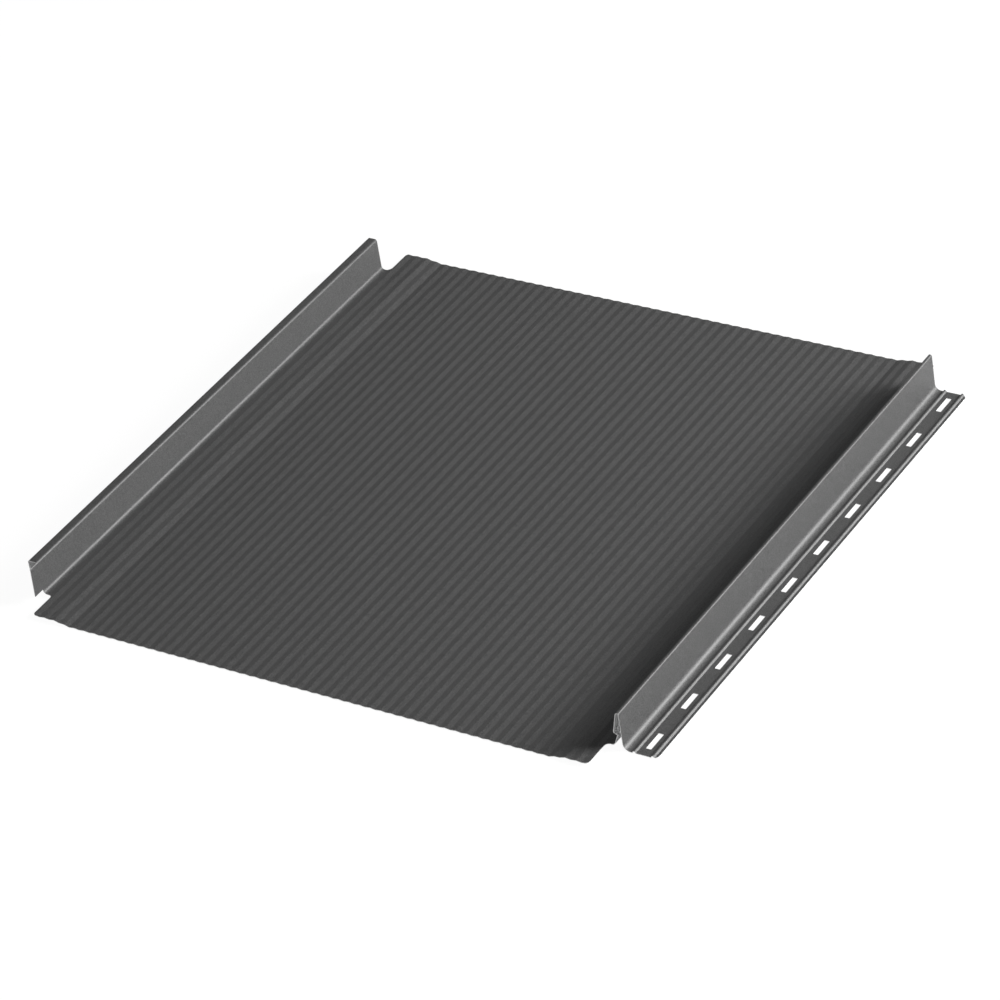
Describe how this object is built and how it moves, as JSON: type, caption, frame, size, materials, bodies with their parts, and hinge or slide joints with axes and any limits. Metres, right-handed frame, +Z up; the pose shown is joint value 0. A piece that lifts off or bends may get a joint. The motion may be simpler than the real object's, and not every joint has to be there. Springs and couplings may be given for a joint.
{
  "type": "standing seam roof panel",
  "caption": "Short roll-formed snap-lock roof panel with a ribbed pan, a hooked female seam, a hollow male rib and a slotted nailing flange.",
  "frame": {"origin": "on the floor under the middle of the panel's bounding box", "axes": "+X from the female seam to the nailing flange, +Y up the roof towards the ridge, +Z up out of the coated face"},
  "size_m": [0.5556, 0.5364, 0.033],
  "materials": {
    "coated_sheet": "neutral dark grey coil coating, satin, with a fine grain"
  },
  "bodies": {
    "root": {"roof_panel": "coated_sheet"}
  },
  "joints": []
}
